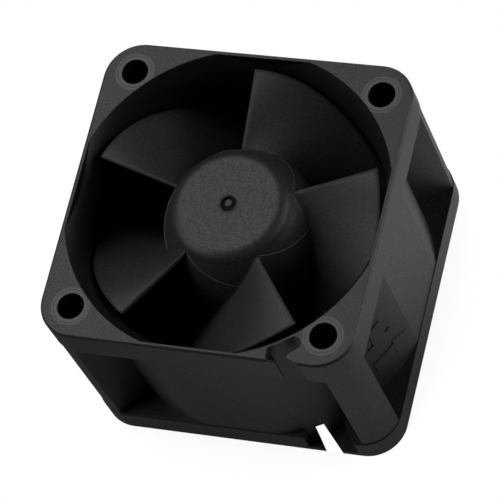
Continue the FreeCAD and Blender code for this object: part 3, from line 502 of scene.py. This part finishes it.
# ---------------------------------------------------------------- gate vestige
# A stub of resin, torn off when the impeller left the mould. Torn PBT is rough and paler than its skin.
pale_torn_and_flash_highlight = moulded("torn_PBT_and_painted_flash_highlight", "#404041", "#6c6c6e", 0.6, 0.15, 0.03, 0.02)
STUB_RADIUS, STUB_DEPTH, STUB_PLACE = 0.5 * MM, 0.16 * MM, Vector((-0.08, 0.16, 26.86)) * MM
TEAR_RISE = 0.03 * MM
bpy.ops.object.select_all(action="DESELECT")
bpy.ops.mesh.primitive_cylinder_add(vertices=14, radius=STUB_RADIUS, depth=STUB_DEPTH, location=STUB_PLACE)
vestige = bpy.context.object
vestige.name = "gate_vestige"
bpy.ops.object.transform_apply(location=True, rotation=False, scale=False)
bpy.ops.object.mode_set(mode="EDIT")
bpy.ops.mesh.select_mode(type="FACE")
bpy.ops.mesh.select_all(action="DESELECT")
bpy.ops.object.mode_set(mode="OBJECT")
for face in vestige.data.polygons:
    face.select = face.normal.z > 0.9
bpy.ops.object.mode_set(mode="EDIT")
bpy.ops.mesh.inset(thickness=0.14 * MM)
bpy.ops.transform.translate(value=(0.03 * MM, 0.02 * MM, 0.1 * MM))
bpy.ops.mesh.inset(thickness=0.1 * MM)
bpy.ops.transform.translate(value=(-0.02 * MM, 0.0, -0.09 * MM))
bpy.ops.object.mode_set(mode="OBJECT")
for index, vertex in enumerate(vestige.data.vertices):
    # The tear is ragged: each corner of it stands a little higher or lower than the next.
    vertex.co.z += TEAR_RISE * math.sin(2.4 * index) * (vertex.co.z > STUB_PLACE.z + 0.04 * MM)
smoothing = vestige.modifiers.new("soft_tear", "SUBSURF")
smoothing.levels = smoothing.render_levels = 1
bpy.ops.object.modifier_apply(modifier=smoothing.name)
vestige.data.materials.append(pale_torn_and_flash_highlight)
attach(vestige, "rotor")

# ---------------------------------------------------------------- hub flash lines
# The mould parts along a line that runs from the root of each blade's front edge down the dome to the
# next blade. A thin flash of resin is left there, which catches the light, and its pale colour is a
# painted highlight along the line.
HUB_RADIUS = 9.8 * MM
DOME_LEVEL = 19.88 * MM
BLADES = 5
FRONT_ROOT = math.radians(22.6)
LINE_TURN = math.radians(48)
LINE_TOP, LINE_FALL = 25.9 * MM, 3.0 * MM
LINE_HALF, LINE_RISE, LINE_SINK = 0.07 * MM, 0.045 * MM, 0.027 * MM      # its sides sink in the dome
bpy.ops.object.select_all(action="DESELECT")
bpy.ops.mesh.primitive_grid_add(x_subdivisions=28, y_subdivisions=2, size=1.0, location=(0, 0, 0))
flash = bpy.context.object
flash.name = "hub_flash_lines"
for vertex in flash.data.vertices:
    share, side = vertex.co.x + 0.5, vertex.co.y * 2
    angle = FRONT_ROOT + LINE_TURN * share
    height = LINE_TOP - LINE_FALL * share + LINE_HALF * side
    away = math.sqrt(HUB_RADIUS ** 2 - (height - DOME_LEVEL) ** 2)
    away += LINE_RISE - (LINE_RISE + LINE_SINK) * abs(side)
    vertex.co = (away * math.cos(angle), away * math.sin(angle), height)
join_copies(flash, [Matrix.Rotation(2 * math.pi * place / BLADES, 3, "Z") for place in range(1, BLADES)])
# The flash lines take the pale torn-resin colour as a painted highlight.
flash.data.materials.append(pale_torn_and_flash_highlight)
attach(flash, "rotor")

# ---------------------------------------------------------------- motor
# Everything else is hidden in the hub and in the motor base: brass, bearing steel, laminations,
# windings and the circuit board.


def metal(name, code, roughness, across_mm, along_mm, depth_mm, flecks=0.04):
    """A metal with fine marks of its making, across_mm wide in X and Y and along_mm long in Z."""
    material, tree = new_material(name)
    place = add_node(tree, "TexCoord").outputs["Object"]
    stretched = add_node(tree, "Mapping", links={
        "Vector": place, "Scale": (1 / (across_mm * MM), 1 / (across_mm * MM), 1 / (along_mm * MM))})
    marks = add_node(tree, "TexNoise", links={"Vector": stretched.outputs[0], "Scale": 1.0, "Detail": 2.0})
    gloss = add_node(tree, "MapRange", links={
        0: marks.outputs[0], 1: 0.3, 2: 0.7, 3: roughness - flecks, 4: roughness + flecks})
    relief = add_node(tree, "Bump", links={
        "Height": marks.outputs[0], "Strength": 0.5, "Distance": depth_mm * MM})
    shader = add_node(tree, "BsdfPrincipled", links={
        "Base Color": linear(code), "Metallic": 1.0, "Roughness": gloss.outputs[0],
        "Normal": relief.outputs[0]})
    add_node(tree, "OutputMaterial", links={"Surface": shader.outputs[0]})
    return material


dress(metal("turned_brass", "#c9a253", 0.3, 3.0, 0.06, 0.004), "bearing_tube", "shaft_bush")
dress(metal("ground_bearing_steel", "#c8c8ca", 0.16, 1.5, 0.05, 0.001),
      "lower_inner_race", "lower_outer_race", "upper_inner_race", "upper_outer_race",
      "lower_bearing_balls", "upper_bearing_balls")
dress(metal("pressed_cage_steel", "#b0aca6", 0.32, 0.4, 0.4, 0.002),
      "lower_bearing_cage", "upper_bearing_cage")
dress(metal("hardened_ground_shaft_steel", "#d0d0d2", 0.14, 2.0, 0.04, 0.001), "shaft")
dress(metal("blued_spring_steel", "#6d6f74", 0.3, 0.5, 0.5, 0.001),
      "retaining_clip", "lower_spring_washer", "upper_spring_washer")
dress(metal("zinc_plated_drawn_steel", "#a2a4a8", 0.36, 0.6, 4.0, 0.003), "rotor_yoke")
dress(metal("stacked_silicon_steel_sheets", "#77787c", 0.42, 4.0, 0.35, 0.03), "stator_core")
dress(metal("tinned_pin_wire", "#c4c4c0", 0.28, 0.3, 0.3, 0.002), "terminal_pins")
dress(metal("enamelled_copper_winding", "#b5602c", 0.3, 0.17, 0.17, 0.03),
      "coil_1", "coil_2", "coil_3", "coil_4")
dress(moulded("natural_nylon_66", "#d9d3c2", "#e4dfd0", 0.45, 0.3, 0.01),
      "upper_insulator", "lower_insulator")
dress(moulded("bonded_ferrite", "#2b2827", "#37322f", 0.6, 0.12, 0.01), "magnet_ring")
dress(moulded("green_solder_mask_on_glass_epoxy", "#14452b", "#1b5535", 0.3, 0.4, 0.006), "circuit_board")
dress(moulded("black_epoxy_chip_body", "#1d1d1e", "#262627", 0.5, 0.08, 0.004),
      "driver_chip", "hall_sensor", "board_resistors")
dress(moulded("fired_ceramic_capacitor", "#a08361", "#b39572", 0.4, 0.1, 0.003), "board_capacitors")
